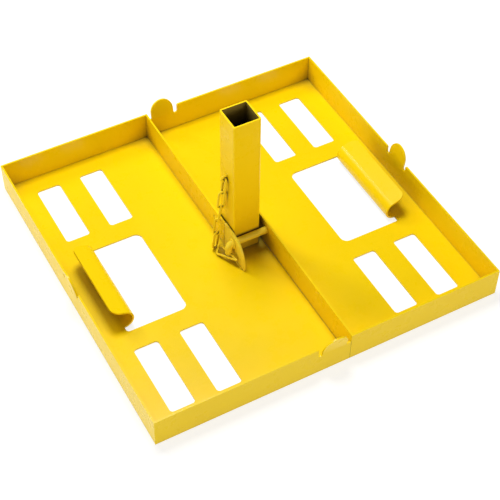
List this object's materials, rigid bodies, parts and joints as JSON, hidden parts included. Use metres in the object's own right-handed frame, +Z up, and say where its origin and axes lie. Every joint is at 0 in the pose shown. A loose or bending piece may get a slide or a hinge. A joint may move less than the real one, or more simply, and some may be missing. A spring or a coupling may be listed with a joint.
{
  "type": "stanchion post base",
  "caption": "Knock-down steel stanchion post base: two folded trays with rolled hand grips, a square post tube and a chained lock pin",
  "frame": {"origin": "on the ground at the middle of the base, directly under the post tube", "axes": "+X to the right across both trays, along the front edge; +Y to the back; +Z up along the post tube"},
  "size_m": [0.62, 0.6104, 0.2815],
  "materials": {
    "tray_paint": "glossy yellow powder coat on folded sheet steel",
    "post_paint": "glossy yellow powder coat on square tube",
    "fitting_paint": "yellow paint over plates, bar, pin and ring",
    "chain_paint": "yellow paint over welded wire links, thinner where links rub",
    "bare_steel": "hardened steel ball and spring inside the pin"
  },
  "bodies": {
    "left_half": {"left_tray": "tray_paint", "left_bracket_plate": "fitting_paint"},
    "right_half": {"right_tray": "tray_paint", "right_bracket_plate": "fitting_paint", "rear_cross_bar": "fitting_paint"},
    "post": {"post_tube": "post_paint", "chain_staple": "chain_paint"},
    "link_1": {"chain_link_1": "chain_paint"},
    "link_2": {"chain_link_2": "chain_paint"},
    "link_3": {"chain_link_3": "chain_paint"},
    "link_4": {"chain_link_4": "chain_paint"},
    "link_5": {"chain_link_5": "chain_paint"},
    "pin": {"lock_pin": "fitting_paint", "pin_detent_ball": "bare_steel", "pin_detent_spring": "bare_steel"},
    "ring": {"pin_ring": "fitting_paint"}
  },
  "joints": [
    {"name": "halves_apart", "type": "slide", "parent": "left_half", "child": "right_half", "axis": [1, 0, 0], "range_m": [0, 0.1]},
    {"name": "post_lift", "type": "slide", "parent": "left_half", "child": "post", "axis": [0, 0, 1], "range_m": [0, 0.28]},
    {"name": "lock_pin_pull", "type": "slide", "parent": "left_half", "child": "pin", "axis": [-1, 0, 0], "range_m": [0, 0.09]},
    {"name": "pin_ring_swing", "type": "hinge", "parent": "pin", "child": "ring", "pos_m": [-0.04025, -0.031, 0.018], "axis": [-0.1703, 0.9854, 0], "range_deg": [0, 60]},
    {"name": "chain_swing_1", "type": "hinge", "parent": "post", "child": "link_1", "pos_m": [-0.0296, 0, 0.15365], "axis": [1, 0, 0], "range_deg": [0, 20]},
    {"name": "chain_swing_2", "type": "hinge", "parent": "link_1", "child": "link_2", "pos_m": [-0.03421, 0, 0.12431], "axis": [0.0864, 0.9962, -0.0118], "range_deg": [0, 20]},
    {"name": "chain_swing_3", "type": "hinge", "parent": "link_2", "child": "link_3", "pos_m": [-0.03824, 0, 0.09494], "axis": [0.957, -0.2588, -0.1311], "range_deg": [0, 20]},
    {"name": "chain_swing_4", "type": "hinge", "parent": "link_3", "child": "link_4", "pos_m": [-0.04226, 0, 0.06556], "axis": [0.5683, 0.8192, -0.0778], "range_deg": [0, 20]},
    {"name": "chain_swing_5", "type": "hinge", "parent": "link_4", "child": "link_5", "pos_m": [-0.0457, 0, 0.0405], "axis": [0.8979, 0.4226, -0.123], "range_deg": [0, 14]}
  ]
}
